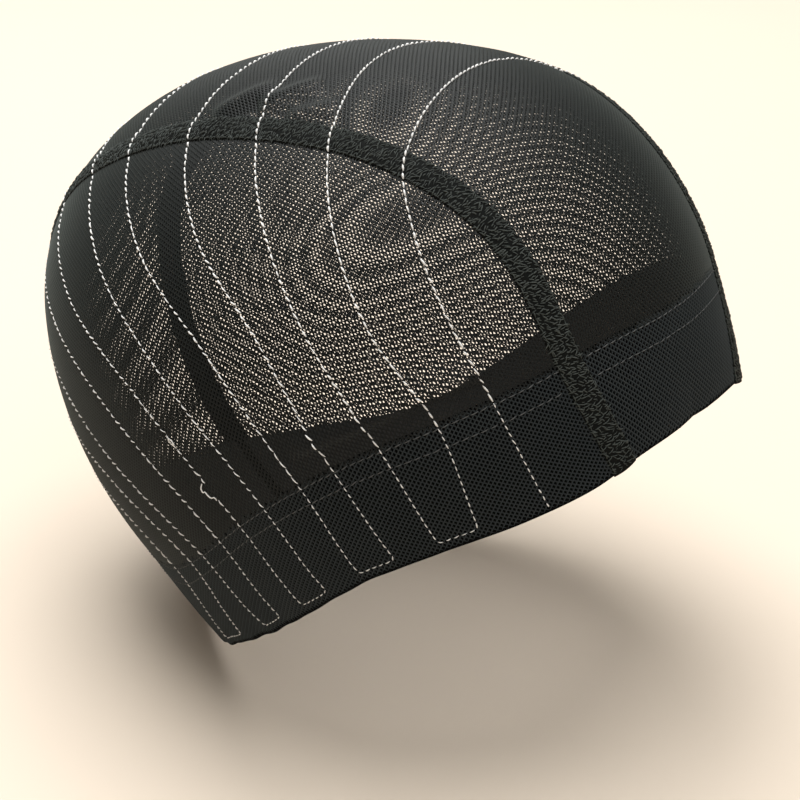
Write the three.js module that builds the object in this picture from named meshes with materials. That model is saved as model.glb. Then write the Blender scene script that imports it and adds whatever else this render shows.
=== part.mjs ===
// A stretch-net dome cap in the form that it takes when worn: three net panels, a doubled hem band
// along the rim and two flat seams. Millimetres, +Z up, the front towards -Y, the wearer's left at +X.
import * as THREE from 'three';

// The dome: quarter ellipsoids that share the widest loop, measured from the middle of that loop
const halfWidth = 76;
const frontReach = 73;
const backReach = 122;
const crownHeight = 79;
const napeDepth = 103;

// Cloth and seams
const netThickness = 1.0;
const hemThickness = 2.0;
const seamWidth = 7;
const seamProud = 0.8;
const seamEdgeProud = 0.2;
const seamBacking = 1.3;
const gap = 0.3;
const flareCurve = 1.7;

// The rim and the hem's upper edge: heights above the widest loop by angle from the front,
// and how far the rim stands out from the dome over the brow and at the nape
const rimRows = [
  { azimuth: 0, rim: 0.5, hemTop: 28.8, flare: 2 },
  { azimuth: 18, rim: -1, hemTop: 28, flare: 4 },
  { azimuth: 28, rim: -5, hemTop: 26, flare: 5 },
  { azimuth: 40, rim: -11.5, hemTop: 21.8, flare: 2.5 },
  { azimuth: 55, rim: -19.5, hemTop: 15, flare: 0 },
  { azimuth: 70, rim: -29.5, hemTop: 6, flare: 0 },
  { azimuth: 82, rim: -42, hemTop: -4.5, flare: 0 },
  { azimuth: 95, rim: -55, hemTop: -18.5, flare: 0.5 },
  { azimuth: 110, rim: -67, hemTop: -36, flare: 3 },
  { azimuth: 128, rim: -78.5, hemTop: -52, flare: 5.5 },
  { azimuth: 155, rim: -84, hemTop: -61, flare: 6 },
  { azimuth: 180, rim: -85, hemTop: -62, flare: 6 },
];

// The seams: half the distance between them, by angle round the dome from the brow over the crown
const seamRows = [
  { angle: -5, halfSpacing: 25 },
  { angle: 8, halfSpacing: 31 },
  { angle: 21, halfSpacing: 35 },
  { angle: 50, halfSpacing: 36 },
  { angle: 80, halfSpacing: 38.5 },
  { angle: 115, halfSpacing: 37 },
  { angle: 136, halfSpacing: 34 },
  { angle: 156, halfSpacing: 27.5 },
  { angle: 190, halfSpacing: 24 },
  { angle: 245, halfSpacing: 21 },
];

// Slack folds of the net: a ridge between two places on the dome, each an azimuth and a height
const foldRows = [
  { fromAzimuth: -82, fromHeight: 4.5, toAzimuth: -61, toHeight: 19, lift: 1.4, halfWidth: 4 },
  { fromAzimuth: -60, fromHeight: 20.5, toAzimuth: -47, toHeight: 25.5, lift: 1.2, halfWidth: 4 },
  { fromAzimuth: -118, fromHeight: 72, toAzimuth: -150, toHeight: 62, lift: 0.9, halfWidth: 4 },
];

// The folds rise from nothing at the hem over this share of the hem's width
const foldSettle = 0.12;

// Facets of each piece
const panelColumns = 32;
const panelRows = 16;
const centreColumns = 10;
const centreRows = 40;
const hemRows = 4;
const endHemColumns = 8;
const seamColumns = 4;
const seamRowsAlong = 60;

// Where a side panel's upper edge turns from rising to running over the crown, and down again
const frontShoulder = THREE.MathUtils.degToRad(52);
const backShoulder = THREE.MathUtils.degToRad(138);

const { lerp, degToRad } = THREE.MathUtils;
const left = 1;
const right = -1;

// A smooth curve through a table: the chosen columns against its first one, in radians
function smoothTable(rows, key, columns) {
  const stations = rows.map((row) => degToRad(row[key]));
  const samples = rows.flatMap((row) => columns.map((column) => row[column]));
  const curve = new THREE.CubicInterpolant(stations, samples, columns.length);
  return (station) => Array.from(curve.evaluate(station));
}

const rimShape = smoothTable(rimRows, 'azimuth', ['rim', 'hemTop', 'flare']);
const seamShape = smoothTable(seamRows, 'angle', ['halfSpacing']);

const lengthwise = (y) => (y < 0 ? frontReach : backReach);
const upright = (z) => (z < 0 ? napeDepth : crownHeight);

function domeNormal(point) {
  const { x, y, z } = point;
  return new THREE.Vector3(
    x / halfWidth ** 2,
    y / lengthwise(y) ** 2,
    z / upright(z) ** 2,
  ).normalize();
}

function seatOnDome(point) {
  const { x, y, z } = point;
  return point.divideScalar(Math.hypot(x / halfWidth, y / lengthwise(y), z / upright(z)));
}

// The dome by angle round it from the brow, in the lengthwise section at distance x from the middle
function domeAt(angle, x) {
  const shrink = Math.sqrt(1 - (x / halfWidth) ** 2);
  const y = -Math.cos(angle);
  const z = Math.sin(angle);
  return new THREE.Vector3(x, y * lengthwise(y) * shrink, z * upright(z) * shrink);
}

// The dome by azimuth from the front and height above the widest loop
function domeAround(azimuth, height) {
  const shrink = Math.sqrt(1 - (height / upright(height)) ** 2);
  const x = Math.sin(azimuth);
  const y = -Math.cos(azimuth);
  const radius = shrink / Math.hypot(x / halfWidth, y / lengthwise(y));
  return new THREE.Vector3(x * radius, y * radius, height);
}

const azimuthOf = (point) => Math.atan2(point.x, -point.y);

// 0 at the rim, 1 at the hem's upper edge
function levelOf(point) {
  const [rim, hemTop] = rimShape(Math.abs(azimuthOf(point)));
  return (point.z - rim) / (hemTop - rim);
}

const folds = foldRows.map((row) => {
  const from = domeAround(degToRad(row.fromAzimuth), row.fromHeight);
  const to = domeAround(degToRad(row.toAzimuth), row.toHeight);
  return { line: new THREE.Line3(from, to), lift: row.lift, halfWidth: row.halfWidth };
});

function foldLift(point) {
  const nearest = new THREE.Vector3();
  let lift = 0;
  for (const fold of folds) {
    const onLine = fold.line.closestPointToPoint(point, true, nearest);
    const away = seatOnDome(onLine).distanceTo(point) / fold.halfWidth;
    lift += fold.lift * Math.exp(-away * away);
  }
  return lift;
}

// The cloth's outer face over a place on the dome: the hem's flare below, the net's slack folds above
function drape(point, proud) {
  const level = levelOf(point);
  const normal = domeNormal(point);
  const cloth = point.clone();
  if (level < 1) {
    const azimuth = azimuthOf(point);
    const [, , flare] = rimShape(Math.abs(azimuth));
    const spread = flare * (1 - Math.max(level, 0)) ** flareCurve;
    cloth.x += spread * Math.sin(azimuth);
    cloth.y -= spread * Math.cos(azimuth);
  } else {
    const settle = THREE.MathUtils.smoothstep(level, 1, 1 + foldSettle);
    cloth.addScaledVector(normal, foldLift(point) * settle);
  }
  return cloth.addScaledVector(normal, proud);
}

// A place beside the left seam's middle line, the offset measured outwards over the cloth
function besideSeam(angle, offset) {
  const step = 0.01;
  const middle = domeAt(angle, seamShape(angle)[0]);
  const along = domeAt(angle + step, seamShape(angle + step)[0]).sub(middle).normalize();
  const across = along.cross(domeNormal(middle));
  return seatOnDome(middle.addScaledVector(across, offset));
}

// A place on the centre panel: share is -1 beside the right seam and 1 beside the left one
function onCentrePanel(angle, share) {
  const edge = besideSeam(angle, -seamWidth / 2 - gap);
  const shrink = Math.sqrt(1 - (edge.x / halfWidth) ** 2);
  const y = edge.y / shrink;
  const z = edge.z / shrink;
  const edgeAngle = Math.atan2(z / upright(z), -y / lengthwise(y));
  return domeAt(edgeAngle, edge.x * share);
}

// The angle at which a lengthwise line reaches a level of the hem, at the front or at the nape
const frontSpan = [degToRad(-15), degToRad(60)];
const napeSpan = [degToRad(245), degToRad(150)];
const halvings = 40;

function angleAtLevel(line, level, [below, above]) {
  let low = below;
  let high = above;
  for (let step = 0; step < halvings; step += 1) {
    const middle = (low + high) / 2;
    if (levelOf(line(middle)) < level) {
      low = middle;
    } else {
      high = middle;
    }
  }
  return (low + high) / 2;
}

// A closed wall from its outer and inner faces, each a place for u and v from 0 to 1
function wall(columns, rows, outer, inner) {
  const positions = [];
  const indices = [];
  for (const face of [outer, inner]) {
    for (let row = 0; row <= rows; row += 1) {
      for (let column = 0; column <= columns; column += 1) {
        positions.push(...face(column / columns, row / rows).toArray());
      }
    }
  }
  const faceSize = (columns + 1) * (rows + 1);
  const at = (column, row, face) => face * faceSize + row * (columns + 1) + column;
  const quad = (a, b, c, d) => indices.push(a, b, c, a, c, d);
  for (let row = 0; row < rows; row += 1) {
    for (let column = 0; column < columns; column += 1) {
      const corners = [[column, row], [column + 1, row], [column + 1, row + 1], [column, row + 1]];
      quad(...corners.map(([i, j]) => at(i, j, 0)));
      quad(...corners.reverse().map(([i, j]) => at(i, j, 1)));
    }
  }
  for (let column = 0; column < columns; column += 1) {
    quad(at(column, 0, 1), at(column + 1, 0, 1), at(column + 1, 0, 0), at(column, 0, 0));
    quad(at(column, rows, 0), at(column + 1, rows, 0), at(column + 1, rows, 1), at(column, rows, 1));
  }
  for (let row = 0; row < rows; row += 1) {
    quad(at(0, row, 0), at(0, row + 1, 0), at(0, row + 1, 1), at(0, row, 1));
    quad(at(columns, row, 1), at(columns, row + 1, 1), at(columns, row + 1, 0), at(columns, row, 0));
  }
  const geometry = new THREE.BufferGeometry();
  geometry.setAttribute('position', new THREE.Float32BufferAttribute(positions, 3));
  geometry.setIndex(indices);
  geometry.computeVertexNormals();
  return geometry;
}

// A piece laid out on the left, or its mirror image on the right, laid out from its other end
function onSide(side, place) {
  return (u, v) => {
    const point = place(side === left ? u : 1 - u, v);
    point.x *= side;
    return point;
  };
}

function cloth(columns, rows, place, thickness) {
  const outer = (u, v) => drape(place(u, v), 0);
  const inner = (u, v) => drape(place(u, v), -thickness);
  return wall(columns, rows, outer, inner);
}

// The net starts just above the hem
const netLevel = 1 + gap / (rimRows[0].hemTop - rimRows[0].rim);

function centrePanel() {
  const place = (u, v) => {
    const line = (angle) => onCentrePanel(angle, 2 * u - 1);
    const front = angleAtLevel(line, netLevel, frontSpan);
    const nape = angleAtLevel(line, netLevel, napeSpan);
    return line(lerp(front, nape, v));
  };
  return cloth(centreColumns, centreRows, place, netThickness);
}

function endHem(span, levelAlong) {
  const place = (u, v) => {
    const line = (angle) => onCentrePanel(angle, 2 * u - 1);
    return line(angleAtLevel(line, levelAlong(v), span));
  };
  return cloth(endHemColumns, hemRows, place, hemThickness);
}

// The side panel's edge along the seam
const sideEdge = (angle) => besideSeam(angle, seamWidth / 2 + gap);

function sidePanel(side) {
  const frontFoot = angleAtLevel(sideEdge, netLevel, frontSpan);
  const napeFoot = angleAtLevel(sideEdge, netLevel, napeSpan);
  const frontAzimuth = azimuthOf(sideEdge(frontFoot));
  const napeAzimuth = azimuthOf(sideEdge(napeFoot));
  const overHem = (u) => {
    const azimuth = lerp(frontAzimuth, napeAzimuth, u);
    const [rim, hemTop] = rimShape(azimuth);
    return domeAround(azimuth, lerp(rim, hemTop, netLevel));
  };
  const overCrown = (u) => sideEdge(lerp(frontShoulder, backShoulder, u));
  const upFront = (v) => sideEdge(lerp(frontFoot, frontShoulder, v));
  const upNape = (v) => sideEdge(lerp(napeFoot, backShoulder, v));

  // Blended from its four edges, then seated on the dome
  const place = (u, v) => {
    const across = overHem(u).lerp(overCrown(u), v);
    const upwards = upFront(v).lerp(upNape(v), u);
    const foot = upFront(0).lerp(upNape(0), u);
    const head = upFront(1).lerp(upNape(1), u);
    return seatOnDome(across.add(upwards).sub(foot.lerp(head, v)));
  };
  return cloth(panelColumns, panelRows, onSide(side, place), netThickness);
}

function sideHem(side) {
  const place = (u, level) => {
    const front = azimuthOf(sideEdge(angleAtLevel(sideEdge, level, frontSpan)));
    const nape = azimuthOf(sideEdge(angleAtLevel(sideEdge, level, napeSpan)));
    const azimuth = lerp(front, nape, u);
    const [rim, hemTop] = rimShape(azimuth);
    return domeAround(azimuth, lerp(rim, hemTop, level));
  };
  return cloth(panelColumns, hemRows, onSide(side, place), hemThickness);
}

// The flat seam is crowned across, and ends flush with the rim
function seam(side) {
  const place = (u, v) => {
    const line = (angle) => besideSeam(angle, (u - 0.5) * seamWidth);
    return line(lerp(angleAtLevel(line, 0, frontSpan), angleAtLevel(line, 0, napeSpan), v));
  };
  const placed = onSide(side, place);
  const outer = (u, v) => {
    const crown = 1 - (2 * u - 1) ** 2;
    return drape(placed(u, v), lerp(seamEdgeProud, seamProud, crown));
  };
  const inner = (u, v) => drape(placed(u, v), -seamBacking);
  return wall(seamColumns, seamRowsAlong, outer, inner);
}

function piece(name, geometry, color, roughness) {
  const material = new THREE.MeshStandardMaterial({ color, roughness, metalness: 0 });
  const mesh = new THREE.Mesh(geometry, material);
  mesh.name = name;
  return mesh;
}

const netColour = 0x2a241e;
const hemColour = 0x121515;
const threadColour = 0x0d0e0e;

const cap = new THREE.Group();
cap.add(
  piece('centre_panel', centrePanel(), netColour, 0.75),
  piece('left_panel', sidePanel(left), netColour, 0.75),
  piece('right_panel', sidePanel(right), netColour, 0.75),
  piece('front_hem', endHem(frontSpan, (v) => v), hemColour, 0.7),
  piece('nape_hem', endHem(napeSpan, (v) => 1 - v), hemColour, 0.7),
  piece('left_hem', sideHem(left), hemColour, 0.7),
  piece('right_hem', sideHem(right), hemColour, 0.7),
  piece('left_seam', seam(left), threadColour, 0.6),
  piece('right_seam', seam(right), threadColour, 0.6),
);

// The origin is the inside of the crown's top, where the cap sits
cap.position.z = netThickness - crownHeight;

export default cap;
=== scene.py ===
import math
import bpy
import numpy as np
from mathutils import Matrix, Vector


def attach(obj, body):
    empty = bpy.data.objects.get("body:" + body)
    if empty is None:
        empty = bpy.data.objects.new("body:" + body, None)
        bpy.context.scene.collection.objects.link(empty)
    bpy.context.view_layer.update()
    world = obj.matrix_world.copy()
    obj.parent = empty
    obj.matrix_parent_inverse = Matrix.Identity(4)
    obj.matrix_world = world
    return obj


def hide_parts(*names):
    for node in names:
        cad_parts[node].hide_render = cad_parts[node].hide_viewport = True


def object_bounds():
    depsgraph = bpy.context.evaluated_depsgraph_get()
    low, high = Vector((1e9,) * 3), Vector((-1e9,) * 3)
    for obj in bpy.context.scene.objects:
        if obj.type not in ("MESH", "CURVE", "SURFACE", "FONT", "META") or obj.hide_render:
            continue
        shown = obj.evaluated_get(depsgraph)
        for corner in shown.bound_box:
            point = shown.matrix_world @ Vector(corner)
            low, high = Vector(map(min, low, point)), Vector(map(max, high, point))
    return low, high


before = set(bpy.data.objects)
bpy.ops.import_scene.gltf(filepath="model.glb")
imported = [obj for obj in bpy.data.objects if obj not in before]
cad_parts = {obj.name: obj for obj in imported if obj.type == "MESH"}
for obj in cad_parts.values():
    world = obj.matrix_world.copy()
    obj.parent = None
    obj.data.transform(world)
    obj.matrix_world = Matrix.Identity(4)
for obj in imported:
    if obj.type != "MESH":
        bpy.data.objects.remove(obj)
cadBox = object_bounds()
mm = 0.001
print("frame loaded:", len(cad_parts), "nodes")


# Tables: a row of column names, then rows of values
def table(names, *rows):
    return [dict(zip(names, row)) for row in rows]


def column(rows, key):
    return np.array([row[key] for row in rows], float)


# The cap's form, mm from the middle of its widest loop, front towards -Y
capForm = {
    "halfWidth": 76,
    "frontReach": 73,
    "backReach": 122,
    "crownHeight": 79,
    "napeDepth": 103,
    "originHeight": 78,   # the frame's origin, under the top of the crown
    "flareCurve": 1.7,
    "foldSettle": 0.12,
    "rimWave": 0.3,       # how much the rim's edge wavers
    "waves": 38,          # wavers once round the rim
    "slowWaves": 7,       # swells of the wavers once round
    "slowFrom": 1,
    "wavesFrom": 0.8,     # the azimuth that they start from, radians
    "waveFade": 3,        # how fast they die away above the rim
}

# heights of the rim and of the hem's upper edge, and how far the rim stands out
rimRows = table(
    ("azimuth", "rim", "hemTop", "flare"),
    (0, 0.5, 28.8, 2),
    (18, -1, 28, 4),
    (28, -5, 26, 5),
    (40, -11.5, 21.8, 2.5),
    (55, -19.5, 15, 0),
    (70, -29.5, 6, 0),
    (82, -42, -4.5, 0),
    (95, -55, -18.5, 0.5),
    (110, -67, -36, 3),
    (128, -78.5, -52, 5.5),
    (155, -84, -61, 6),
    (180, -85, -62, 6),
)

# half the distance between the two seams, by angle from the brow over the crown
seamRows = table(
    ("angle", "halfSpacing"),
    (-5, 25),
    (8, 31),
    (21, 35),
    (50, 36),
    (80, 38.5),
    (115, 37),
    (136, 34),
    (156, 27.5),
    (190, 24),
    (245, 21),
)

# slack folds of the net: a ridge between two places given by azimuth and height, and its slopes' widths
foldRows = table(
    ("start", "end", "lift", "above", "below"),
    ((-84, 3), (-60, 19.5), 1.4, 6, 1.2),
    ((-63, 19), (-46, 25.8), 1.3, 5, 1.2),
    ((-143.5, 64.5), (-145.5, 72.5), 1.5, 3.5, 4.5),
    ((-135.5, 69), (-132, 75), 1.6, 3.5, 5),
    ((-121, 69), (-107, 73), 1.3, 3, 4),
)


def smoothCurve(stations, values):
    # a local cubic through the points, straight at both ends
    last = len(stations) - 2

    def at(station):
        t = np.clip(np.asarray(station, float), stations[0], stations[-1])
        i = np.clip(np.searchsorted(stations, t, "right") - 1, 0, last)
        before = np.where(i == 0, i + 1, i - 1)
        after = np.where(i == last, i, i + 2)
        t0, t1 = stations[i], stations[i + 1]
        half = (t1 - t0) / 2
        back = half / (t0 - stations[before])
        ahead = half / (stations[after] - t1)
        p = (t - t0) / (t1 - t0)
        q = p * p
        r = q * p
        return (
            (-back * r + 2 * back * q - back * p) * values[before]
            + ((1 + back) * r + (-1.5 - 2 * back) * q + (-0.5 + back) * p + 1) * values[i]
            + ((-1 - ahead) * r + (1.5 + ahead) * q + 0.5 * p) * values[i + 1]
            + (ahead * r - ahead * q) * values[after]
        )

    return at


rimAzimuths = np.radians(column(rimRows, "azimuth"))
rimHeight = smoothCurve(rimAzimuths, column(rimRows, "rim"))
hemHeight = smoothCurve(rimAzimuths, column(rimRows, "hemTop"))
rimFlare = smoothCurve(rimAzimuths, column(rimRows, "flare"))
halfSpacing = smoothCurve(np.radians(column(seamRows, "angle")), column(seamRows, "halfSpacing"))


def lengthwise(y):
    return np.where(y < 0, capForm["frontReach"], capForm["backReach"])


def upright(z):
    return np.where(z < 0, capForm["napeDepth"], capForm["crownHeight"])


def reaches(places):
    x, y, z = np.moveaxis(places, -1, 0)
    return np.stack([np.full_like(x, capForm["halfWidth"]), lengthwise(y), upright(z)], -1)


def unit(vectors):
    return vectors / np.linalg.norm(vectors, axis=-1, keepdims=True)


def between(first, second, share):
    return first + (second - first) * share


def lengthsAlong(places, pitch=1.0):
    # from the start of a line to each of its places, in pitches
    steps = np.linalg.norm(np.diff(places, axis=0), axis=1)
    return np.concatenate([[0], np.cumsum(steps / pitch)])


def domeNormal(places):
    return unit(places / reaches(places) ** 2)


def seatOnDome(places):
    return places / np.linalg.norm(places / reaches(places), axis=-1, keepdims=True)


# the dome by angle over the crown from the brow, at a distance x from the middle
def domeAt(angle, x):
    angle, x = np.broadcast_arrays(np.asarray(angle, float), np.asarray(x, float))
    shrink = np.sqrt(1 - (x / capForm["halfWidth"]) ** 2)
    y, z = -np.cos(angle), np.sin(angle)
    return np.stack([x, y * lengthwise(y) * shrink, z * upright(z) * shrink], -1)


# the dome by azimuth from the front and height above the widest loop
def domeAround(azimuth, height):
    azimuth, height = np.broadcast_arrays(np.asarray(azimuth, float), np.asarray(height, float))
    shrink = np.sqrt(1 - (height / upright(height)) ** 2)
    x, y = np.sin(azimuth), -np.cos(azimuth)
    radius = shrink / np.hypot(x / capForm["halfWidth"], y / lengthwise(y))
    return np.stack([x * radius, y * radius, height], -1)


# the dome by distances over the cloth from the middle of a side, backwards and upwards
legendre, legendreShare = np.polynomial.legendre.leggauss(8)
arcRepeats = 5


def domeBeside(back, up, side):
    distance = np.hypot(back, up) + 1e-9
    wide, tall = back / distance, up / distance
    reach = 1 / np.hypot(wide / lengthwise(back), tall / upright(up))

    def stride(turn):
        return np.hypot(reach[..., None] * np.cos(turn), capForm["halfWidth"] * np.sin(turn))

    # the turn round the side's ellipse whose arc is that long
    turn = distance / reach
    for repeat in range(arcRepeats):
        stops = turn[..., None] * (legendre + 1) / 2
        arc = turn / 2 * (stride(stops) @ legendreShare)
        turn = turn - (arc - distance) / stride(turn[..., None])[..., 0]
    radius = reach * np.sin(turn)
    return np.stack([side * capForm["halfWidth"] * np.cos(turn), radius * wide, radius * tall], -1)


def azimuthOf(places):
    return np.arctan2(places[..., 0], -places[..., 1])


def angleOf(places):
    y, z = places[..., 1], places[..., 2]
    angle = np.arctan2(z / upright(z), -y / lengthwise(y))
    return np.where(angle < -np.pi / 2, angle + 2 * np.pi, angle)


# 0 at the rim, 1 at the hem's upper edge
def levelOf(places):
    azimuth = np.abs(azimuthOf(places))
    rim = rimHeight(azimuth)
    return (places[..., 2] - rim) / (hemHeight(azimuth) - rim)


def aroundAtLevel(azimuth, level):
    fromFront = np.abs(np.mod(azimuth + np.pi, 2 * np.pi) - np.pi)
    return domeAround(azimuth, between(rimHeight(fromFront), hemHeight(fromFront), level))


def foldLift(places):
    lift = np.zeros(places.shape[:-1])
    for row in foldRows:
        start = domeAround(math.radians(row["start"][0]), row["start"][1])
        way = domeAround(math.radians(row["end"][0]), row["end"][1]) - start
        share = np.clip((places - start) @ way / (way @ way), 0, 1)
        away = places - seatOnDome(start + share[..., None] * way)
        reach = np.where(away[..., 2] > 0, row["above"], row["below"])
        near = np.exp(-(np.linalg.norm(away, axis=-1) / reach) ** 2)
        lift += row["lift"] * near * (1 - (2 * share - 1) ** 4)
    return lift


# the cloth over places on the dome, a distance proud of its outer face
def drape(places, proud):
    level = levelOf(places)
    normal = domeNormal(places)
    azimuth = azimuthOf(places)
    low = np.clip(1 - np.maximum(level, 0), 0, 1)
    spread = rimFlare(np.abs(azimuth)) * low ** capForm["flareCurve"]
    settle = np.clip((level - 1) / capForm["foldSettle"], 0, 1)
    settle = settle * settle * (3 - 2 * settle)
    swell = np.sin(azimuth * capForm["slowWaves"] + capForm["slowFrom"])
    waver = np.sin(azimuth * capForm["waves"]) * swell
    waver = waver * np.clip((np.abs(azimuth) - capForm["wavesFrom"]) / capForm["wavesFrom"], 0, 1)
    cloth = places + normal * (foldLift(places) * settle + proud)[..., None]
    cloth[..., 0] += spread * np.sin(azimuth)
    cloth[..., 1] -= spread * np.cos(azimuth)
    cloth[..., 2] += capForm["rimWave"] * waver * low ** capForm["waveFade"]
    return cloth


def inFrame(places):
    return (places - [0, 0, capForm["originHeight"]]) * mm


# Shader maths: a socket that takes part in expressions, and the nodes of one finish
class Wire:
    def __init__(self, finish, socket):
        self.finish = finish
        self.socket = socket

    def maths(self, operation, first, second):
        return self.finish.node("ShaderNodeMath", {"operation": operation}, {0: first, 1: second})

    def __add__(self, other):
        return self.maths("ADD", self, other)

    def __radd__(self, other):
        return self.maths("ADD", other, self)

    def __sub__(self, other):
        return self.maths("SUBTRACT", self, other)

    def __rsub__(self, other):
        return self.maths("SUBTRACT", other, self)

    def __mul__(self, other):
        return self.maths("MULTIPLY", self, other)

    def __rmul__(self, other):
        return self.maths("MULTIPLY", other, self)

    def __pow__(self, other):
        return self.maths("POWER", self, other)


class Finish:
    def __init__(self, name):
        self.material = bpy.data.materials.new(name)
        self.material.use_nodes = True
        self.tree = self.material.node_tree
        self.shader = self.tree.nodes["Principled BSDF"]
        self.place = self.node("ShaderNodeTexCoord", {}, {}, "Object")

    def feed(self, socket, value):
        if isinstance(value, Wire):
            self.tree.links.new(value.socket, socket)
        else:
            socket.default_value = value

    def node(self, kind, settings, inputs, output=0):
        made = self.tree.nodes.new(kind)
        for key, value in settings.items():
            setattr(made, key, value)
        for key, value in inputs.items():
            self.feed(made.inputs[key], value)
        return Wire(self, made.outputs[output])

    def noise(self, scale, detail=2.0):
        return self.node("ShaderNodeTexNoise", {}, {"Vector": self.place, "Scale": scale, "Detail": detail})

    def blend(self, share, first, second):
        return self.node("ShaderNodeMix", {"data_type": "RGBA"}, {0: share, 6: first, 7: second}, 2)

    def attribute(self, name):
        return self.node("ShaderNodeAttribute", {"attribute_name": name}, {}, "Fac")

    def bump(self, height, strength, distance):
        return self.node("ShaderNodeBump", {}, {"Height": height, "Strength": strength, "Distance": distance})

    def surface(self, inputs):
        for key, value in inputs.items():
            self.feed(self.shader.inputs[key], value)
        return self.material


def shade(grey, tint=(1, 1, 1)):
    return (grey * tint[0], grey * tint[1], grey * tint[2], 1)


# Finishes: a dark and a light colour, mixed by noise and, on the nets, by a painted highlight on the ridges;
# noise scales are per metre, bump depths are mm
yarnLook = {
    "dark": shade(0.0022, (0.92, 1.05, 1)),
    "light": shade(0.0075, (0.86, 1.05, 1)),
    "ridge": 0.3,          # the share of the painted highlight on the ridges in the tone
    "ridgeCurve": 2,
    "tone": 1.15,
    "cloudScale": 70,
    "cloud": 0.4,
    "cloudPolish": 0.1,
    "filamentScale": 5200,
    "filamentDetail": 1.0,
    "filament": 0.3,
    "filamentRoughness": 0.2,
    "roughness": 0.43,
    "bump": 0.25,
    "bumpDepth": 0.06,
    "specular": 0.17,
    "sheen": 0.14,
    "sheenTint": shade(1, (0.88, 1, 0.93)),
}
# the hem's yarn: the same yarn with a far lighter colour on its ridges, a painted highlight on the strands
# over the dark ply
hemYarnLook = dict(yarnLook, light=shade(0.045, (0.8, 1, 1.08)), ridge=0.8, roughness=0.62, sheen=0.03)


def netYarn(name, look):
    finish = Finish(name)
    cloud = finish.noise(look["cloudScale"])
    filament = finish.noise(look["filamentScale"], look["filamentDetail"])
    # painted highlight: the yarn's colour is lighter on the ridges' crossings, where the ridge attribute
    # marks them
    ridge = finish.attribute("ridge") ** look["ridgeCurve"]
    plain = cloud * look["cloud"] + filament * look["filament"]
    share = ridge * look["ridge"] + plain * (look["tone"] - look["ridge"])
    return finish.surface({
        "Base Color": finish.blend(share, look["dark"], look["light"]),
        "Roughness": look["roughness"] + filament * look["filamentRoughness"] - cloud * look["cloudPolish"],
        "Normal": finish.bump(filament, look["bump"], look["bumpDepth"] * mm),
        "Specular IOR Level": look["specular"],
        "Sheen Weight": look["sheen"],
        "Sheen Tint": look["sheenTint"],
    })


clothLook = {
    # the ply under the hem's net: black cloth, painted darker still as shade under the outer net
    "ply": (shade(0.0008), shade(0.003, (1, 1.08, 1.06))),
    # the lining inside the hem: painted lighter than the black cloth, as light on the cap's shaded inside
    "lining": (shade(0.03), shade(0.07, (1, 1.02, 1))),
    "cloudScale": 90,
    "cloud": 0.3,
    "knitScale": 1400,
    "knitDetail": 3.0,
    "knit": 0.7,
    "roughness": 0.75,
    "knitRoughness": 0.15,
    "bump": 0.5,
    "bumpDepth": 0.15,
    "specular": 0.03,
}


def hemCloth():
    finish = Finish("hem_cloth")
    cloud = finish.noise(clothLook["cloudScale"])
    knit = finish.noise(clothLook["knitScale"], clothLook["knitDetail"])
    tone = knit * clothLook["knit"] + cloud * clothLook["cloud"]
    ply = finish.blend(tone, *clothLook["ply"])
    lining = finish.blend(tone, *clothLook["lining"])
    return finish.surface({
        # the inside faces take the lining's painted light, the outer ply its painted shade
        "Base Color": finish.blend(finish.attribute("lining"), ply, lining),
        "Roughness": clothLook["roughness"] + knit * clothLook["knitRoughness"],
        "Normal": finish.bump(knit, clothLook["bump"], clothLook["bumpDepth"] * mm),
        "Specular IOR Level": clothLook["specular"],
    })


sewingLook = {
    "dark": shade(0.003, (0.93, 1.06, 0.97)),
    "light": shade(0.11, (0.93, 1.06, 0.97)),
    "cloudScale": 240,
    "cloud": 0.4,
    "fibreScale": 3600,
    "fibreDetail": 3.0,
    "fibre": 0.6,
    "roughness": 0.55,
    "fibreRoughness": 0.25,
    "bump": 0.4,
    "bumpDepth": 0.1,
    "specular": 0.14,
}
bedLook = dict(sewingLook, dark=shade(0.002), light=shade(0.011, (0.95, 1.08, 0.98)), specular=0.03)
hemThreadLook = dict(sewingLook, dark=shade(0.035), light=shade(0.14, (1, 1.04, 1.02)))
guideLook = dict(sewingLook, dark=shade(0.6, (1, 0.99, 0.95)), light=shade(0.92, (1, 1, 0.98)), specular=0.4,
                 cloudScale=45, fibreScale=4200, fibreDetail=2.0, roughness=0.5, bump=0.35)


def thread(name, look):
    finish = Finish(name)
    cloud = finish.noise(look["cloudScale"])
    fibre = finish.noise(look["fibreScale"], look["fibreDetail"])
    share = fibre * look["fibre"] + cloud * look["cloud"]
    return finish.surface({
        "Base Color": finish.blend(share, look["dark"], look["light"]),
        "Roughness": look["roughness"] + fibre * look["fibreRoughness"],
        "Normal": finish.bump(fibre, look["bump"], look["bumpDepth"] * mm),
        "Specular IOR Level": look["specular"],
    })


netFinish = netYarn("net_yarn", yarnLook)
hemNetFinish = netYarn("hem_yarn", hemYarnLook)
hemFinish = hemCloth()
seamFinish = thread("seam_yarn", sewingLook)
bedFinish = thread("seam_bed", bedLook)
hemThreadFinish = thread("hem_thread", hemThreadLook)
guideFinish = thread("guide_thread", guideLook)
print("finishes made:", len(bpy.data.materials))


# Making pieces on the root body, and marking their points
def addPiece(name, points, faces, finish, node):
    mesh = bpy.data.meshes.new(name)
    mesh.from_pydata(inFrame(points), [], faces)
    mesh.validate()
    mesh.shade_smooth()
    mesh.materials.append(finish)
    piece = bpy.data.objects.new(name, mesh)
    bpy.context.collection.objects.link(piece)
    if node:
        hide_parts(node)
    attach(piece, "root")
    mesh.calc_loop_triangles()
    print(name, len(mesh.loop_triangles), "triangles")
    return piece


def mark(piece, name, values):
    made = piece.data.attributes.new(name, "FLOAT", "POINT")
    made.data.foreach_set("value", values.astype(np.float32))


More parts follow.
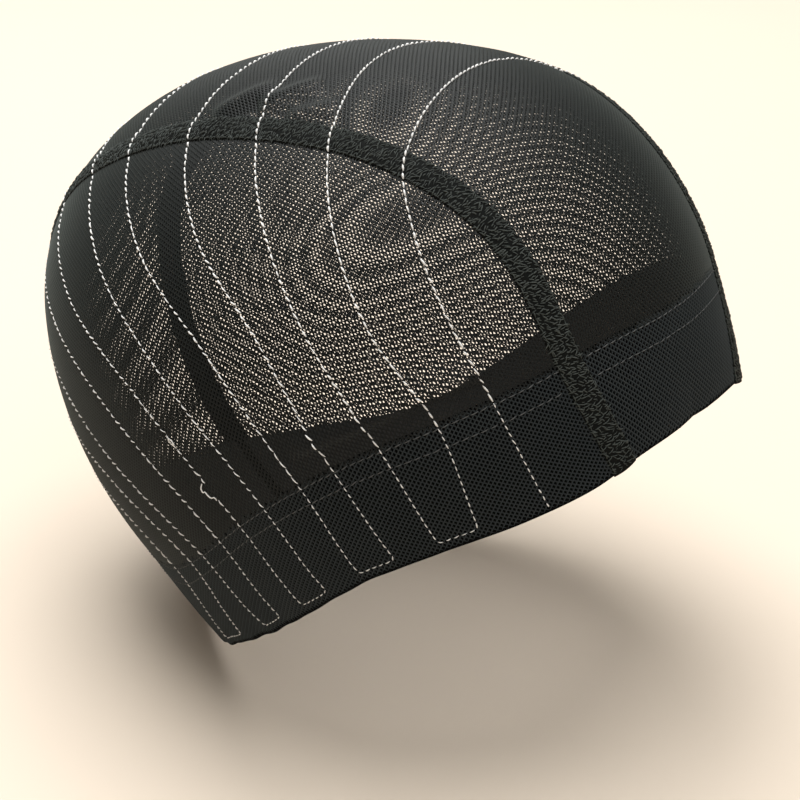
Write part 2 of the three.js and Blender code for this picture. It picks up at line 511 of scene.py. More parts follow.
def selectWhere(piece, kind, test):
    # selects the vertices, edges or faces of a piece that pass a test, and leaves it in edit mode
    bpy.ops.object.mode_set(mode="EDIT")
    bpy.ops.mesh.select_mode(type=kind)
    bpy.ops.mesh.select_all(action="DESELECT")
    bpy.ops.object.mode_set(mode="OBJECT")
    parts = {"VERT": piece.data.vertices, "EDGE": piece.data.edges, "FACE": piece.data.polygons}
    for part in parts[kind]:
        part.select = test(part)
    bpy.ops.object.mode_set(mode="EDIT")


# The net: rows of long holes, every second column half a step on. Strands ridge up between the holes.
netForm = {
    "across": 0.765,        # from column to column
    "along": 1.4,           # from hole to hole in a column
    "holeHalfWidth": 0.275,
    "holeShoulder": 0.18,
    "holeHalfLength": 0.525,
    "ridgeProud": -0.05,
    "roundness": 0.4,       # how far a strand's shading leans over at the edge of a hole
    "hemWiden": 1.05,       # width of the hem's holes beside the panels' ones
    "unevenness": 0.012,
    "seed": 4,
}

seamForm = {
    "width": 7,
    "tuck": 1.4,            # how near the net comes to the seam's middle line
    "edgeProud": 0.03,
    "crownProud": 0.45,
    "backing": -1.25,
    "rowStep": 1.5,
    "overPoints": 9,        # across the bed, over and under
    "underPoints": 4,
    "underInset": 0.2,
    "frontSearch": (-15, 60),     # angles between which the seam meets the hem's levels
    "napeSearch": (245, 150),
    "searchPoints": 500,
    "points": 1600,         # along the measured middle line
}


def beyondSeam(places):
    return np.abs(places[..., 0]) - halfSpacing(angleOf(places))


# length over the crown along the middle of the cap
crownStart, crownEnd, crownPoints = -25, 255, 1400
crownAngles = np.radians(np.linspace(crownStart, crownEnd, crownPoints))
crownLengths = lengthsAlong(domeAt(crownAngles, 0.0))


def centreChart(sideways, length):
    angle = np.interp(length, crownLengths, crownAngles)
    return domeAt(angle, capForm["halfWidth"] * np.sin(sideways / capForm["halfWidth"]))


def sideChart(side):
    return lambda back, up: domeBeside(back, up, side)


# the three cuts of net: the area of each chart, the lean of the grain in it and the depth of its strands
sideArea = {"low": (-95, -110), "high": (175, 125), "deep": 0.46}
cuts = {
    "centre": {"chart": centreChart, "low": (-48, 0), "high": (48, crownLengths[-1]),
               "grain": 10, "deep": 0.36},
    "left": dict(sideArea, chart=sideChart(1), grain=60),
    "right": dict(sideArea, chart=sideChart(-1), grain=34.5),
}

# the hem's cloth lies a little turned to the panels
hemGrains = {"centre": 3, "left": 23, "right": 23}
hemCuts = {key: dict(cuts[key], grain=grain) for key, grain in hemGrains.items()}


def latticeOf(cut):
    # whole steps across and half steps along, holes where their sum is even
    low, high = np.array(cut["low"], float), np.array(cut["high"], float)
    middle, span = (low + high) / 2, np.linalg.norm(high - low) / 2
    grain = math.radians(cut["grain"])
    across = np.array([math.cos(grain), -math.sin(grain)]) * netForm["across"]
    along = np.array([math.sin(grain), math.cos(grain)]) * netForm["along"] / 2
    columns = int(span / netForm["across"])
    rows = int(2 * span / netForm["along"])
    i, k = np.meshgrid(np.arange(-columns, columns + 1), np.arange(-rows, rows + 1), indexing="ij")
    holes = (i + k) % 2 == 0
    cells = np.stack([i[holes], k[holes]], -1)

    def flat(steps):
        return middle + steps[..., :1] * across + steps[..., 1:] * along

    spots = flat(cells)
    inside = np.all((spots > low) & (spots < high), axis=-1)
    return cells[inside], flat


def clothNormals(chart, spots):
    step = 0.3
    level = np.zeros(len(spots))

    def cloth(first, second):
        return drape(chart(spots[:, 0] + first, spots[:, 1] + second), level)

    here = cloth(0, 0)
    normals = unit(np.cross(cloth(step, 0) - here, cloth(0, step) - here))
    outward = np.sum(normals * domeNormal(here), axis=-1, keepdims=True)
    return normals * np.sign(outward)


def netPiece(name, cut, keep, finish, node, widen=1.0):
    cells, flat = latticeOf(cut)
    centres = flat(cells)
    cells = cells[keep(cut["chart"](centres[:, 0], centres[:, 1]))]
    chance = np.random.default_rng(netForm["seed"])

    # crossings of the strands, shared by the four holes around each
    neighbours = np.array([[1, 0], [0, 1], [-1, 0], [0, -1]])
    around = cells[:, None] + neighbours
    crossings, index = np.unique(around.reshape(-1, 2), axis=0, return_inverse=True)
    east, north, west, south = index.reshape(-1, 4).T

    # six corners for each hole, in steps of the lattice
    wide = widen * netForm["holeHalfWidth"] / netForm["across"]
    shoulder = widen * netForm["holeShoulder"] / netForm["across"]
    tall = 2 * netForm["holeHalfLength"] / netForm["along"]
    outline = np.array([
        [wide, 0], [shoulder, tall], [-shoulder, tall], [-wide, 0], [-shoulder, -tall], [shoulder, -tall],
    ])
    size = 1 + chance.normal(0, 2 * netForm["unevenness"], (len(cells), 1, 1))
    corners = (cells[:, None] + outline * size).reshape(-1, 2)

    spots = flat(np.concatenate([crossings, corners]).astype(float))
    spots = spots + chance.normal(0, netForm["unevenness"], spots.shape)
    proud = np.full(len(spots), netForm["ridgeProud"] - cut["deep"])
    proud[:len(crossings)] = netForm["ridgeProud"]
    places = cut["chart"](spots[:, 0], spots[:, 1])
    points = drape(places, proud)
    normals = clothNormals(cut["chart"], spots)
    middles = flat(cells.astype(float))
    middles = np.repeat(cut["chart"](middles[:, 0], middles[:, 1]), len(outline), axis=0)
    normals[len(crossings):] += netForm["roundness"] * unit(middles - places[len(crossings):])

    a, b, c, d, e, f = (len(crossings) + np.arange(len(corners)).reshape(-1, len(outline))).T
    faces = np.concatenate([
        np.stack(corner, -1) for corner in (
            (east, north, a), (north, b, a), (north, west, d), (north, d, c), (north, c, b),
            (west, south, d), (south, e, d), (south, east, a), (south, a, f), (south, f, e),
        )
    ])
    if facing(points, faces) < 0:
        faces = faces[:, ::-1]
    piece = addPiece(name, points, faces.tolist(), finish, node)
    # marks the strands' crossings, where the yarn is painted lighter as a highlight on the ridges
    mark(piece, "ridge", np.arange(len(points)) < len(crossings))
    piece.data.normals_split_custom_set_from_vertices(unit(normals))
    return piece


def facing(points, faces):
    first, second, third = (points[faces[:, corner]] for corner in (0, 1, 2))
    normals = np.cross(second - first, third - first)
    return np.sum(normals * domeNormal(first))


def inCentre(places):
    return beyondSeam(places) < -seamForm["tuck"]


def onSide(places, side):
    return (beyondSeam(places) > seamForm["tuck"]) & (places[..., 0] * side > 0)


hemLap = 0.975   # where the panels' net ends, a little below the hem's upper edge


def aboveHem(places):
    return levelOf(places) >= hemLap


hemFoot = 0.03   # where the hem's net goes in under the rolled rim


def inHem(places):
    level = levelOf(places)
    return (level > hemFoot) & (level < 1)


panelKeeps = {
    "centre": inCentre,
    "left": lambda p: onSide(p, 1),
    "right": lambda p: onSide(p, -1),
}
hemKeeps = {
    "front": {"cut": "centre", "keep": lambda p: inCentre(p) & (p[:, 1] < 0)},
    "nape": {"cut": "centre", "keep": lambda p: inCentre(p) & (p[:, 1] > 0)},
    "left": {"cut": "left", "keep": panelKeeps["left"]},
    "right": {"cut": "right", "keep": panelKeeps["right"]},
}
for key, inPanel in panelKeeps.items():
    netPiece(key + "_net", cuts[key], lambda p: inPanel(p) & aboveHem(p),
                         netFinish, key + "_panel")
for key, band in hemKeeps.items():
    netPiece(key + "_hem_net", hemCuts[band["cut"]], lambda p: band["keep"](p) & inHem(p),
                            hemNetFinish, key + "_hem", netForm["hemWiden"])


# Seams: lines beside the left seam's middle, and where they meet a level of the hem
frontSpan = np.radians(np.linspace(*seamForm["frontSearch"], seamForm["searchPoints"]))
napeSpan = np.radians(np.linspace(*seamForm["napeSearch"], seamForm["searchPoints"]))


def besideSeam(angle, offset):
    step = 0.01
    middle = domeAt(angle, halfSpacing(angle))
    along = unit(domeAt(angle + step, halfSpacing(angle + step)) - middle)
    across = np.cross(along, domeNormal(middle))
    return seatOnDome(middle + across * np.asarray(offset, float)[..., None])


def angleAtLevel(offset, level, span):
    return np.interp(level, levelOf(besideSeam(span, offset)), span)


def ringWall(rings):
    # faces of a body made of equal rings of points, its ends filled
    amount, size = rings.shape[:2]
    spots = np.arange(amount * size).reshape(amount, size)
    here, following = spots[:-1], spots[1:]
    quads = np.stack([here, np.roll(here, -1, axis=1), np.roll(following, -1, axis=1), following], -1)
    return quads.reshape(-1, 4).tolist() + [spots[0, ::-1].tolist(), spots[-1].tolist()]


# The hem's inner ply: a closed band under the outer net, rolled over at the rim
hemForm = {
    "columnStep": 1.6,
    "stretch": 1.2,          # length of a band beside an arc of the cap's half width
    "plyProud": -0.7,
    "plyLevels": (1.0, 0.85, 0.7, 0.55, 0.4, 0.25, 0.12, 0.07),
    "liningProud": -1.95,
    "liningLevels": (0.07, 0.25, 0.5, 0.75, 0.985),
    "liningBelow": -1.5,     # what lies deeper than this is lining
    # the roll round the rim and the turn at the top, by level and proudness
    "roll": ((0.05, -0.4), (0.03, -0.14), (0.015, -0.08), (0.004, -0.33),
             (-0.004, -0.7), (-0.004, -1.3), (0.004, -1.7), (0.02, -1.92)),
    "top": ((1.004, -1.6), (1.006, -1.05)),
}


def hemSection():
    ply = [(level, hemForm["plyProud"]) for level in hemForm["plyLevels"]]
    lining = [(level, hemForm["liningProud"]) for level in hemForm["liningLevels"]]
    return np.array([*ply, *hemForm["roll"], *lining, *hemForm["top"]])


def hemBand(name, start, end, node):
    # start and end give the azimuth of the band's ends at a level
    section = hemSection()
    levels = section[:, 0]
    first, last = start(levels), end(levels)
    length = np.max(last - first) * capForm["halfWidth"] * hemForm["stretch"]
    share = np.linspace(0, 1, int(length / hemForm["columnStep"]))[:, None]
    azimuths = between(first, last, share)
    rings = drape(aroundAtLevel(azimuths, levels), np.broadcast_to(section[:, 1], azimuths.shape))
    piece = addPiece(name, rings.reshape(-1, 3), ringWall(rings), hemFinish, node)
    # inside faces take the lining's colour, painted lighter as light on the cap's shaded inside
    mark(piece, "lining", np.tile(section[:, 1] < hemForm["liningBelow"], len(rings)))
    return piece


def seamAzimuth(offset, span):
    return lambda level: azimuthOf(besideSeam(angleAtLevel(offset, level, span), np.full(len(level), offset)))


innerEdge, outerEdge = -seamForm["tuck"], seamForm["tuck"]
frontInner, frontOuter = seamAzimuth(innerEdge, frontSpan), seamAzimuth(outerEdge, frontSpan)
napeInner, napeOuter = seamAzimuth(innerEdge, napeSpan), seamAzimuth(outerEdge, napeSpan)
hemFolds = {
    "front": hemBand("front_hem_fold", lambda v: -frontInner(v), frontInner, "front_hem"),
    "nape": hemBand("nape_hem_fold", napeInner, lambda v: 2 * np.pi - napeInner(v), "nape_hem"),
    "left": hemBand("left_hem_fold", frontOuter, napeOuter, "left_hem"),
    "right": hemBand("right_hem_fold", lambda v: -napeOuter(v), lambda v: -frontOuter(v), "right_hem"),
}


# Seam strips: a crowned bed under close lanes of short slanting stitches, with a row of thread at each edge
coverForm = {
    "lanes": (-2.7, -1.35, 0, 1.35, 2.7),
    "pitch": 0.6,
    "length": 1.9,
    "thickness": 0.27,
    "slant": 70,            # from the seam's own way
    "unevenSlant": 25,
    "stray": 0.3,
    "proud": 0.06,
    "dip": 0.3,
    "ends": 0.8,            # left bare at both ends of the seam
    "unevenPitch": 0.3,
    "unevenLength": 0.2,
    "unevenGirth": 0.15,
    "girthLimits": (0.7, 1.4),
    "unevenProud": 0.08,
    "seed": 11,
}
edgeRow = {
    "offsets": (-3.1, 3.1),
    "pitch": 2.0,
    "length": 1.7,
    "thickness": 0.28,
    "slant": 10,
    "unevenSlant": 9,
    "proud": 0.14,
    "dip": 0.2,
    "ends": 0.5,
    "points": 700,          # along the line that the stitches follow
}


# the seam's middle line from the front rim to the nape rim
seamEnds = angleAtLevel(0.0, 0.0, frontSpan), angleAtLevel(0.0, 0.0, napeSpan)
seamAngles = np.linspace(*seamEnds, seamForm["points"])
seamLengths = lengthsAlong(besideSeam(seamAngles, np.zeros(len(seamAngles))))
seamLength = seamLengths[-1]


def seamCrown(offset):
    share = np.clip(1 - (2 * np.asarray(offset) / seamForm["width"]) ** 2, 0, 1)
    return between(seamForm["edgeProud"], seamForm["crownProud"], share)


def onSeam(length, offset):
    angle = np.interp(length, seamLengths, seamAngles)
    return besideSeam(angle, offset)


def mirrored(points, side):
    return points * [side, 1, 1]


def turned(faces, side):
    return faces if side > 0 else [face[::-1] for face in faces]


def seamBed(name, side, node):
    half = seamForm["width"] / 2
    inset = half - seamForm["underInset"]
    over = np.linspace(-half, half, seamForm["overPoints"])
    under = np.linspace(inset, -inset, seamForm["underPoints"])
    offsets = np.concatenate([over, under])
    proud = np.concatenate([seamCrown(over), np.full(len(under), seamForm["backing"])])
    rows = int(seamLength / seamForm["rowStep"])
    lengths = np.linspace(0, seamLength, rows)[:, None] + 0 * offsets
    places = onSeam(lengths, offsets + 0 * lengths)
    # the ends stop at the rim
    low = levelOf(places) < 0
    places[low] = aroundAtLevel(azimuthOf(places[low]), 0.0)
    rings = drape(mirrored(places, side), proud + 0 * lengths)
    return addPiece(name, rings.reshape(-1, 3), turned(ringWall(rings), side),
                    bedFinish, node)


def tube(centres, normals, thickness, sides):
    tangents = unit(np.gradient(centres, axis=0))
    sideways = unit(np.cross(normals, tangents))
    upwards = np.cross(tangents, sideways)
    turn = np.arange(sides) * 2 * np.pi / sides + np.pi / sides
    ring = np.cos(turn)[:, None] * sideways[:, None] + np.sin(turn)[:, None] * upwards[:, None]
    return centres[:, None] + ring * thickness / 2


def joined(parts):
    # several (points, faces) as one
    points, faces, start = [], [], 0
    for places, sides in parts:
        points.append(places)
        faces += [[corner + start for corner in face] for face in sides]
        start += len(places)
    return np.concatenate(points), faces


# One stitch along X, modelled once: a short thread that dips and thins at both ends
stitchForm = {"sides": 4, "cuts": 2, "endFrom": 0.4, "endGirth": 0.5}


def stitchShape(length, thickness, dip):
    bpy.ops.object.select_all(action="DESELECT")
    bpy.ops.mesh.primitive_cylinder_add(vertices=stitchForm["sides"], radius=thickness / 2, depth=length,
                                        end_fill_type="NGON", rotation=(0, math.pi / 2, 0))
    shape = bpy.context.object
    bpy.ops.object.transform_apply(rotation=True)

    def lengthways(edge):
        first, second = (shape.data.vertices[corner].co for corner in edge.vertices)
        return abs(first.x - second.x) > length / 2

    selectWhere(shape, "EDGE", lengthways)
    bpy.ops.mesh.subdivide(number_cuts=stitchForm["cuts"])
    selectWhere(shape, "VERT", lambda corner: abs(corner.co.x) > length * stitchForm["endFrom"])
    bpy.ops.transform.resize(value=(1, stitchForm["endGirth"], stitchForm["endGirth"]))
    bpy.ops.transform.translate(value=(0, 0, -dip))
    bpy.ops.object.mode_set(mode="OBJECT")
    points = np.array([corner.co for corner in shape.data.vertices])
    faces = [list(face.vertices) for face in shape.data.polygons]
    bpy.data.meshes.remove(shape.data)
    return points, faces


def stitched(shape, spots, proud, tangents, slant, stretch=1.0, girth=1.0):
    # copies of a stitch on the cloth over a line, each turned on it by its slant
    points, faces = shape
    amount = len(spots)
    sideways = unit(np.cross(domeNormal(spots), tangents))
    upwards = unit(np.cross(tangents, sideways))
    turn = np.radians(slant)[:, None]
    ahead = tangents * np.cos(turn) + sideways * np.sin(turn)
    beside = sideways * np.cos(turn) - tangents * np.sin(turn)
    stretch, girth = (np.broadcast_to(value, amount)[:, None, None] for value in (stretch, girth))
    copies = (
        drape(spots, proud)[:, None]
        + points[None, :, :1] * stretch * ahead[:, None]
        + points[None, :, 1:2] * girth * beside[:, None]
        + points[None, :, 2:] * girth * upwards[:, None]
    )
    starts = np.arange(amount) * len(points)
    allFaces = [[corner + start for corner in face] for start in starts for face in faces]
    return copies.reshape(-1, 3), allFaces


def alongLine(places, pitch):
    # places on a line over the dome, a pitch apart, with its direction there; the pitch may change along it
    counts = lengthsAlong(places, np.broadcast_to(pitch, len(places))[1:])
    stations = np.arange(0.5, counts[-1])
    lookAhead = 0.25

    def at(station):
        return np.stack([np.interp(station, counts, places[:, axis]) for axis in range(3)], -1)

    spots = seatOnDome(at(stations))
    tangents = unit(at(stations + lookAhead) - at(stations - lookAhead))
    return spots, tangents


def coverStitches(side, chance):
    shape = stitchShape(coverForm["length"], coverForm["thickness"], coverForm["dip"])
    uneven = coverForm["unevenPitch"]
    lookAhead = 0.4
    parts = []
    for offset in coverForm["lanes"]:
        lengths = np.arange(coverForm["ends"], seamLength - coverForm["ends"], coverForm["pitch"])
        amount = len(lengths)
        lengths = lengths + coverForm["pitch"] * chance.uniform(-uneven, uneven, amount)
        offsets = offset + chance.normal(0, coverForm["stray"], amount)
        spots = mirrored(onSeam(lengths, offsets), side)
        ahead, behind = onSeam(lengths + lookAhead, offsets), onSeam(lengths - lookAhead, offsets)
        tangents = unit(mirrored(ahead - behind, side))
        slant = chance.normal(coverForm["slant"], coverForm["unevenSlant"], amount)
        stretch = chance.normal(1, coverForm["unevenLength"], amount)
        girth = np.clip(chance.normal(1, coverForm["unevenGirth"], amount), *coverForm["girthLimits"])
        proud = seamCrown(offsets) + coverForm["proud"] + chance.normal(0, coverForm["unevenProud"], amount)
        parts.append(stitched(shape, spots, proud, tangents, slant, stretch, girth))
    return joined(parts)


def edgeStitches(side, chance):
    shape = stitchShape(edgeRow["length"], edgeRow["thickness"], edgeRow["dip"])
    parts = []
    for offset in edgeRow["offsets"]:
        lengths = np.linspace(edgeRow["ends"], seamLength - edgeRow["ends"], edgeRow["points"])
        places = mirrored(onSeam(lengths, np.full(len(lengths), offset)), side)
        spots, tangents = alongLine(places, edgeRow["pitch"])
        proud = seamCrown(offset) + edgeRow["proud"]
        slant = chance.normal(edgeRow["slant"], edgeRow["unevenSlant"], len(spots))
        parts.append(stitched(shape, spots, proud, tangents, slant))
    return joined(parts)


def seamThreads(name, side, node):
    chance = np.random.default_rng(coverForm["seed"] + side)
    points, faces = joined([coverStitches(side, chance), edgeStitches(side, chance)])
    addPiece(name, points, faces, seamFinish, node)


seamBeds = [seamBed("left_seam_bed", 1, "left_seam"), seamBed("right_seam_bed", -1, "right_seam")]
seamThreads("left_seam_threads", 1, "left_seam")
seamThreads("right_seam_threads", -1, "right_seam")


# Guide stitching: one white line that runs to and fro over the cap

# one crossing a row: its angle at the crown, distances back and up over a side, its azimuth at the rim
guideRows = table(
    ("crown", "way", "rim"),
    (81.5, ((-20, 79), (-31, 60), (-44, 41), (-56, 23)), 36),
    (96.5, ((5, 81), (-9, 59), (-26, 36), (-44, 16)), 48.7),
    (106, ((31, 78), (11, 55), (-11, 32), (-31, 9)), 56),
    (115.3, ((57, 71), (32, 48), (2, 28), (-20, 2)), 64),
    (127.5, ((81, 60), (51, 39), (17, 21), (-11, -4)), 71),
    (142.5, ((100, 50), (66, 30), (31, 11), (0, -13)), 78.3),
    (155, ((118, 35), (82, 18), (42, 3), (9, -21)), 85),
    (169, ((129, 16), (90, 6), (52, -8), (18, -29)), 92.5),
    (184, ((132, -8), (96, -11), (60, -23), (27, -38)), 99),
    (197, ((128, -33), (96, -29), (64, -32), (34, -44)), 109.6),
    (211, ((117, -57), (95, -45), (69, -43), (46, -53)), 120),
)
guideForm = {
    "turnLevel": 0.1,       # height of the turns, in hem widths above the rim
    "endLevel": 0.02,
    "turnPoints": 26,
    "cornerLength": 5,      # over which a turn is rounded
    "lineStep": 0.5,        # between the points of the line that the stitches follow
    "pitch": 2.35,          # on the sides, where the cap is stretched most
    "crownPitch": 1.8,
    "pitchCurve": 4,
    "hemPitches": (2.0, 1.55),
    "hemAzimuths": (60, 115),     # where the hem's stitches have these pitches
    "length": 0.84,         # of a stitch, in pitches
    "sideLength": 0.82,
    "hemLength": 0.64,
    "thickness": 0.41,
    "crownGirth": 0.4,      # how much fuller the thread stands where the cap faces up
    "crownCurve": 2,
    "hemGirth": 0.72,       # its girth on the hem, where it is pulled in
    "proud": 0.12,
    "seamRise": 0.3,        # where it crosses a seam
    "dip": 0.2,
    "slant": 4,
    "sideSlant": 15,
    "looseFrom": 0.9,       # height from which the stitches lie looser, in hem widths
    "looseRate": 4,
    "unevenSlant": 3,
    "looseSlant": 7,
    "unevenLength": 0.06,
    "looseLength": 0.08,
    "unevenGirth": 0.12,
    "girthLimits": (0.7, 1.3),
    "unevenProud": 0.06,
    "seed": 23,
}

# two faults in the seventh row on the right: a slack loop, and a small eye of thread pulled through
looseForm = {
    "loop": table(
        ("back", "up", "proud"),
        (19.8, -12.9, 0.0),
        (19.9, -14.1, 0.4),
        (19.3, -15.0, 0.5),
        (18.5, -14.6, 0.5),
        (17.6, -15.3, 0.5),
        (16.6, -15.7, 0.45),
        (15.7, -15.3, 0.3),
        (15.2, -16.1, 0.0),
    ),
    "slack": (17.7, -14.7),   # middle of the stretch that the loop takes up
    "slackReach": 2.3,
    "eye": (29.3, -4.3),
    "eyeLength": 2.1,
    "eyeWidth": 0.85,
    "eyeLean": 36,
    "eyeProud": 0.3,
    "eyeTilt": 0.1,
    "thickness": 0.32,
    "sides": 5,
    "steps": 28,
}


def guideLine(row, level):
    rim = aroundAtLevel(math.radians(row["rim"]), np.array(level))
    way = np.array(row["way"], float)
    near = domeBeside(way[:, 0], way[:, 1], 1)
    crown = domeAt(math.radians(row["crown"]), 0.0)
    half = np.vstack([rim, near[::-1]])
    knots = np.vstack([half * [-1, 1, 1], crown, half[::-1]])
    stations = lengthsAlong(knots)
    fine = np.arange(0, stations[-1], guideForm["lineStep"])
    curves = [smoothCurve(stations, knots[:, axis])(fine) for axis in range(3)]
    return seatOnDome(np.stack(curves, -1))


def guidePath():
    path = []
    for index, row in enumerate(guideRows):
        level = guideForm["turnLevel"] if index else guideForm["endLevel"]
        line = guideLine(row, level)
        path.append(line if index % 2 == 0 else line[::-1])
        if index + 1 < len(guideRows):
            side = 1 if index % 2 == 0 else -1
            following = guideRows[index + 1]["rim"]
            azimuths = np.radians(np.linspace(row["rim"], following, guideForm["turnPoints"])[1:-1])
            path.append(aroundAtLevel(side * azimuths, guideForm["turnLevel"]))
    path = np.concatenate(path)
    reach = int(guideForm["cornerLength"] / guideForm["lineStep"]) // 2
    weights = np.hanning(2 * reach + 3)[1:-1]
    weights = weights / weights.sum()
    padded = np.concatenate([np.repeat(path[:1], reach, 0), path, np.repeat(path[-1:], reach, 0)])
    smooth = np.stack([np.convolve(padded[:, axis], weights, "valid") for axis in range(3)], -1)
    return seatOnDome(smooth)


def riseOver(places):
    # how much higher a thread lies where it crosses a seam strip
    offset = beyondSeam(places)
    half = seamForm["width"] / 2
    return np.where(np.abs(offset) < half, seamCrown(offset) + guideForm["seamRise"], 0)


def slackThread(back, up, proud):
    places = domeBeside(back, up, -1)
    rings = tube(drape(places, proud), domeNormal(places), looseForm["thickness"], looseForm["sides"])
    return rings.reshape(-1, 3), ringWall(rings)


def slackLoop():
    knots = np.stack([column(looseForm["loop"], key) for key in ("back", "up", "proud")], -1)
    stations = np.arange(len(knots), dtype=float)
    fine = np.linspace(0, stations[-1], looseForm["steps"])
    return slackThread(*(smoothCurve(stations, knots[:, axis])(fine) for axis in range(3)))


def slackEye():
    turn = np.linspace(0, 2 * np.pi, looseForm["steps"])
    lean = math.radians(looseForm["eyeLean"])
    ahead = looseForm["eyeLength"] / 2 * np.cos(turn)
    beside = looseForm["eyeWidth"] / 2 * np.sin(turn)
    back = looseForm["eye"][0] + ahead * math.cos(lean) - beside * math.sin(lean)
    up = looseForm["eye"][1] + ahead * math.sin(lean) + beside * math.cos(lean)
    return slackThread(back, up, looseForm["eyeProud"] + looseForm["eyeTilt"] * np.cos(turn))


def guidePitch(places):
    up = np.clip(domeNormal(places)[:, 2], 0, 1)
    onCap = between(guideForm["pitch"], guideForm["crownPitch"], up ** guideForm["pitchCurve"])
    azimuths = np.abs(azimuthOf(places))
    onHem = np.interp(azimuths, np.radians(guideForm["hemAzimuths"]), guideForm["hemPitches"])
    return np.where(levelOf(places) < 1, onHem, onCap)


def guideStitching():
    chance = np.random.default_rng(guideForm["seed"])
    shape = stitchShape(1.0, guideForm["thickness"], guideForm["dip"])
    path = guidePath()
    spots, tangents = alongLine(path, guidePitch(path))
    slack = domeBeside(*np.array(looseForm["slack"]), -1)
    tight = np.linalg.norm(spots - slack, axis=-1) > looseForm["slackReach"]
    spots, tangents = spots[tight], tangents[tight]
    amount = len(spots)
    up = np.clip(domeNormal(spots)[:, 2], 0, 1)
    level = levelOf(spots)
    onHem = level < 1
    loose = np.clip((level - guideForm["looseFrom"]) * guideForm["looseRate"], 0, 1) * (1 - up)
    sunk = np.abs(chance.normal(0, guideForm["unevenProud"], amount))
    proud = guideForm["proud"] - sunk + riseOver(spots)
    slant = between(guideForm["slant"], guideForm["sideSlant"], loose)
    unevenSlant = guideForm["unevenSlant"] + guideForm["looseSlant"] * loose
    slant = slant + chance.normal(0, 1, amount) * unevenSlant
    share = between(guideForm["length"], guideForm["sideLength"], loose)
    share = np.where(onHem, guideForm["hemLength"], share)
    unevenLength = guideForm["unevenLength"] + guideForm["looseLength"] * loose
    stretch = guidePitch(spots) * share * chance.normal(1, unevenLength)
    girth = np.clip(chance.normal(1, guideForm["unevenGirth"], amount), *guideForm["girthLimits"])
    girth = girth * (1 + guideForm["crownGirth"] * up ** guideForm["crownCurve"])
    girth = girth * np.where(onHem, guideForm["hemGirth"], 1)
    stitches = stitched(shape, spots, proud, tangents, slant, stretch, girth)
    points, faces = joined([stitches, slackLoop(), slackEye()])
    addPiece("guide_stitching", points, faces, guideFinish, None)


guideStitching()


# Hem stitching: two rows of grey thread round the top of the hem
hemRow = {
    "topLevel": 0.965,
    "apart": 5.1,
    "pitch": 2.4,
    "length": 2.0,
    "thickness": 0.26,
    "slant": 6,
    "unevenSlant": 4,
    "proud": 0.04,
    "unevenProud": 0.05,
    "dip": 0.2,
    "points": 1500,         # along the line that the stitches follow
    "seed": 31,
}


def hemStitching():
    chance = np.random.default_rng(hemRow["seed"])
    shape = stitchShape(hemRow["length"], hemRow["thickness"], hemRow["dip"])
    azimuths = np.radians(np.linspace(-180, 180, hemRow["points"]))
    fromFront = np.abs(azimuths)
    hemWidth = hemHeight(fromFront) - rimHeight(fromFront)
    parts = []
    for lower in (0, hemRow["apart"]):
        places = aroundAtLevel(azimuths, hemRow["topLevel"] - lower / hemWidth)
        spots, tangents = alongLine(places, hemRow["pitch"])
        clear = np.abs(beyondSeam(spots)) > seamForm["width"] / 2
        spots, tangents = spots[clear], tangents[clear]
        proud = hemRow["proud"] - np.abs(chance.normal(0, hemRow["unevenProud"], len(spots)))
        slant = chance.normal(hemRow["slant"], hemRow["unevenSlant"], len(spots))
        parts.append(stitched(shape, spots, proud, tangents, slant))
    points, faces = joined(parts)
    addPiece("hem_stitching", points, faces, hemThreadFinish, None)


hemStitching()


# Floor, light and camera
studio = {
    "floorDrop": 2,          # mm under the lowest edge of the cap
    "floorRadius": 3.2,      # m, to the wall that the floor curves up into
    "floorSides": 96,
    "wallHeight": 1.8,
    "curve": 1.2,
    "curveSteps": 12,
    "topFacing": 0.5,        # how far up a face looks when it is the open top
    "flatFacing": 0.999,     # and when it is the flat of the floor
    "paper": shade(0.7, (1, 0.87, 0.72)),
    "paperShade": shade(0.67, (1, 0.865, 0.71)),
    "cloudScale": 3,
    "cloudDetail": 4.0,
    "grainScale": 900,
    "roughness": 0.85,
    "grainRoughness": 0.1,
    "bump": 0.05,
    "bumpDepth": 0.1,
    "specular": 0.2,
    "skyStrength": 0.27,
    "lampAim": (0, 0.02, -0.07),
}


def paperFloor():
    finish = Finish("paper")
    cloud = finish.noise(studio["cloudScale"], studio["cloudDetail"])
    grain = finish.noise(studio["grainScale"])
    material = finish.surface({
        "Base Color": finish.blend(cloud, studio["paper"], studio["paperShade"]),
        "Roughness": studio["roughness"] + grain * studio["grainRoughness"],
        "Normal": finish.bump(grain, studio["bump"], studio["bumpDepth"] * mm),
        "Specular IOR Level": studio["specular"],
    })
    low = cadBox[0].z - studio["floorDrop"] * mm
    middle = low + studio["wallHeight"] / 2
    bpy.ops.object.select_all(action="DESELECT")
    bpy.ops.mesh.primitive_cylinder_add(
        vertices=studio["floorSides"], radius=studio["floorRadius"], depth=studio["wallHeight"],
        end_fill_type="NGON", location=(0, 0, middle))
    floor = bpy.context.object
    floor.name = "floor"
    bpy.ops.object.transform_apply(location=True)

    def atFoot(edge):
        return all(floor.data.vertices[corner].co.z < low + mm for corner in edge.vertices)

    # the top is open, and the foot of the wall is rounded
    selectWhere(floor, "FACE", lambda face: face.normal.z > studio["topFacing"])
    bpy.ops.mesh.delete(type="FACE")
    selectWhere(floor, "EDGE", atFoot)
    bpy.ops.mesh.bevel(offset=studio["curve"], segments=studio["curveSteps"])
    bpy.ops.mesh.select_all(action="SELECT")
    bpy.ops.mesh.flip_normals()
    bpy.ops.object.mode_set(mode="OBJECT")
    for face in floor.data.polygons:
        face.use_smooth = face.normal.z < studio["flatFacing"]
    floor.data.materials.append(material)


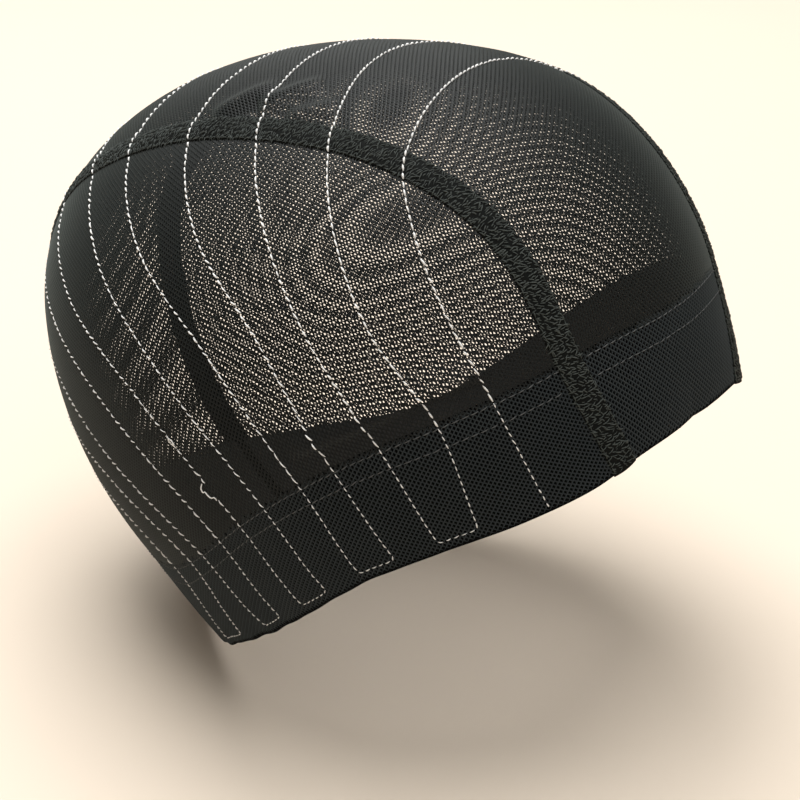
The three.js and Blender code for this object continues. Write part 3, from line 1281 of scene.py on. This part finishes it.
lamps = [
    {"name": "top", "spot": (0.1, 0.1, 1.5), "size": 1.4, "power": 28},
    {"name": "behind", "spot": (0.4, 0.75, 1.2), "size": 1.3, "power": 17},
    {"name": "front", "spot": (-0.5, -0.9, 1.2), "size": 1.3, "power": 5},
    {"name": "low", "spot": (-0.8, -1.2, 0.1), "size": 1.1, "power": 3},
]


def aimed(back, roll=0.0):
    # the turn of a lamp or camera that looks away from its back, tipped by a roll
    right = unit(np.cross([0, 0, 1], back))
    up = np.cross(back, right)
    tipped = right * math.cos(roll) + up * math.sin(roll)
    upward = up * math.cos(roll) - right * math.sin(roll)
    return Matrix(np.stack([tipped, upward, back], -1).tolist()).to_euler()


def softLight(lamp):
    back = unit(np.array(lamp["spot"]) - np.array(studio["lampAim"]))
    bpy.ops.object.select_all(action="DESELECT")
    bpy.ops.object.light_add(type="AREA", location=lamp["spot"], rotation=aimed(back))
    light = bpy.context.object
    light.name = lamp["name"]
    light.data.shape = "DISK"
    light.data.size = lamp["size"]
    light.data.energy = lamp["power"]


view = {
    "azimuth": -53.971,
    "elevation": 25.81,
    "roll": -1.157,
    "distance": 573.451,              # mm from the aim
    "aim": (-11.062, 5.419, -89.906),
    "lens": 98.591,
    "sensor": 36,
    "clipStart": 0.01,
}


def photoCamera():
    azimuth, elevation, roll = (math.radians(view[key]) for key in ("azimuth", "elevation", "roll"))
    level = math.cos(elevation)
    back = np.array([math.sin(azimuth) * level, -math.cos(azimuth) * level, math.sin(elevation)])
    spot = (np.array(view["aim"]) + back * view["distance"]) * mm
    bpy.ops.object.select_all(action="DESELECT")
    bpy.ops.object.camera_add(location=spot, rotation=aimed(back, roll))
    camera = bpy.context.object
    camera.name = "camera"
    camera.data.lens = view["lens"]
    camera.data.sensor_width = view["sensor"]
    camera.data.clip_start = view["clipStart"]
    bpy.context.scene.camera = camera


paperFloor()
for lamp in lamps:
    softLight(lamp)
photoCamera()
world = bpy.data.worlds.new("studio")
world.use_nodes = True
sky = world.node_tree.nodes["Background"]
sky.inputs["Color"].default_value = shade(1)
sky.inputs["Strength"].default_value = studio["skyStrength"]
bpy.context.scene.world = world
bpy.context.scene.view_settings.view_transform = "Standard"
print("studio set")
